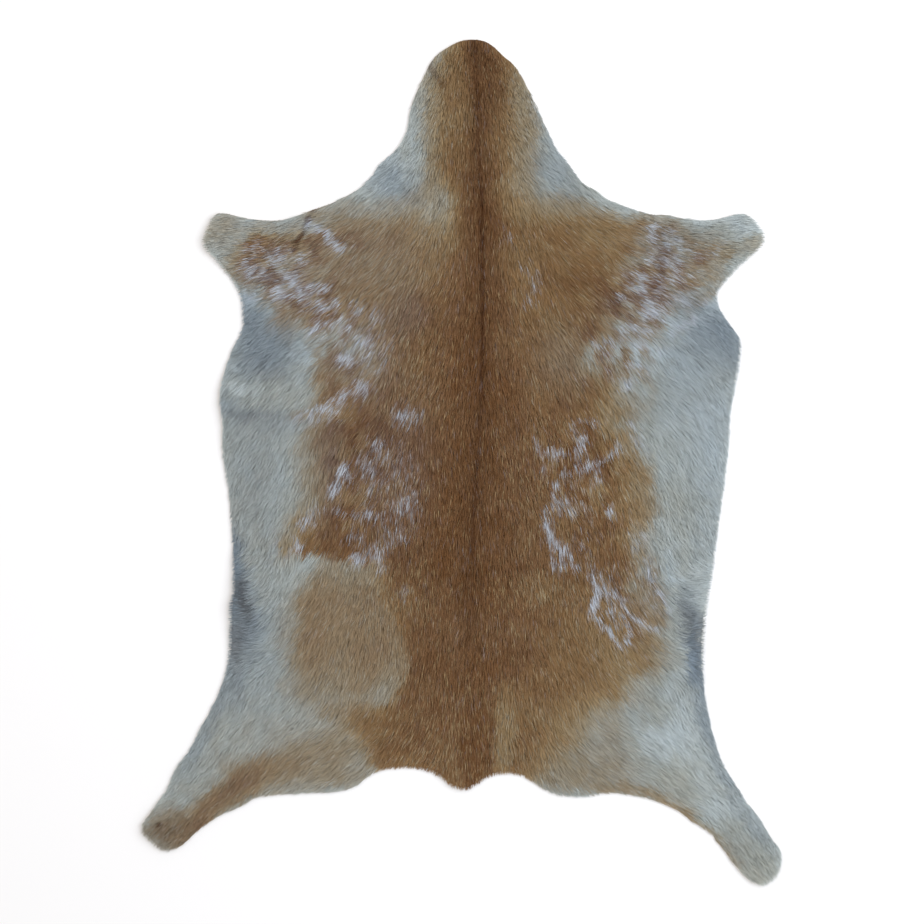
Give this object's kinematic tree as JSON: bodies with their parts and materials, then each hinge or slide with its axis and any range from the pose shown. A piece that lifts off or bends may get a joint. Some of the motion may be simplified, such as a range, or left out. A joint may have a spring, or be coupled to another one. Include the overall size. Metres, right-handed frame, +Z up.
{
  "type": "goatskin rug",
  "caption": "Whole goat hide with its short, flat coat, laid out as a rug with the neck, forelegs and hind legs spread.",
  "frame": {"origin": "on the floor, under the middle of the hide's bounding box", "axes": "+Z up, +Y along the spine towards the neck, +X to the hide's right side as seen from above"},
  "size_m": [0.7, 0.928, 0.0119],
  "materials": {
    "goat_coat": "matt short hair in brown, tan, grey cream and white"
  },
  "bodies": {
    "root": {"hide": "goat_coat"}
  },
  "joints": []
}
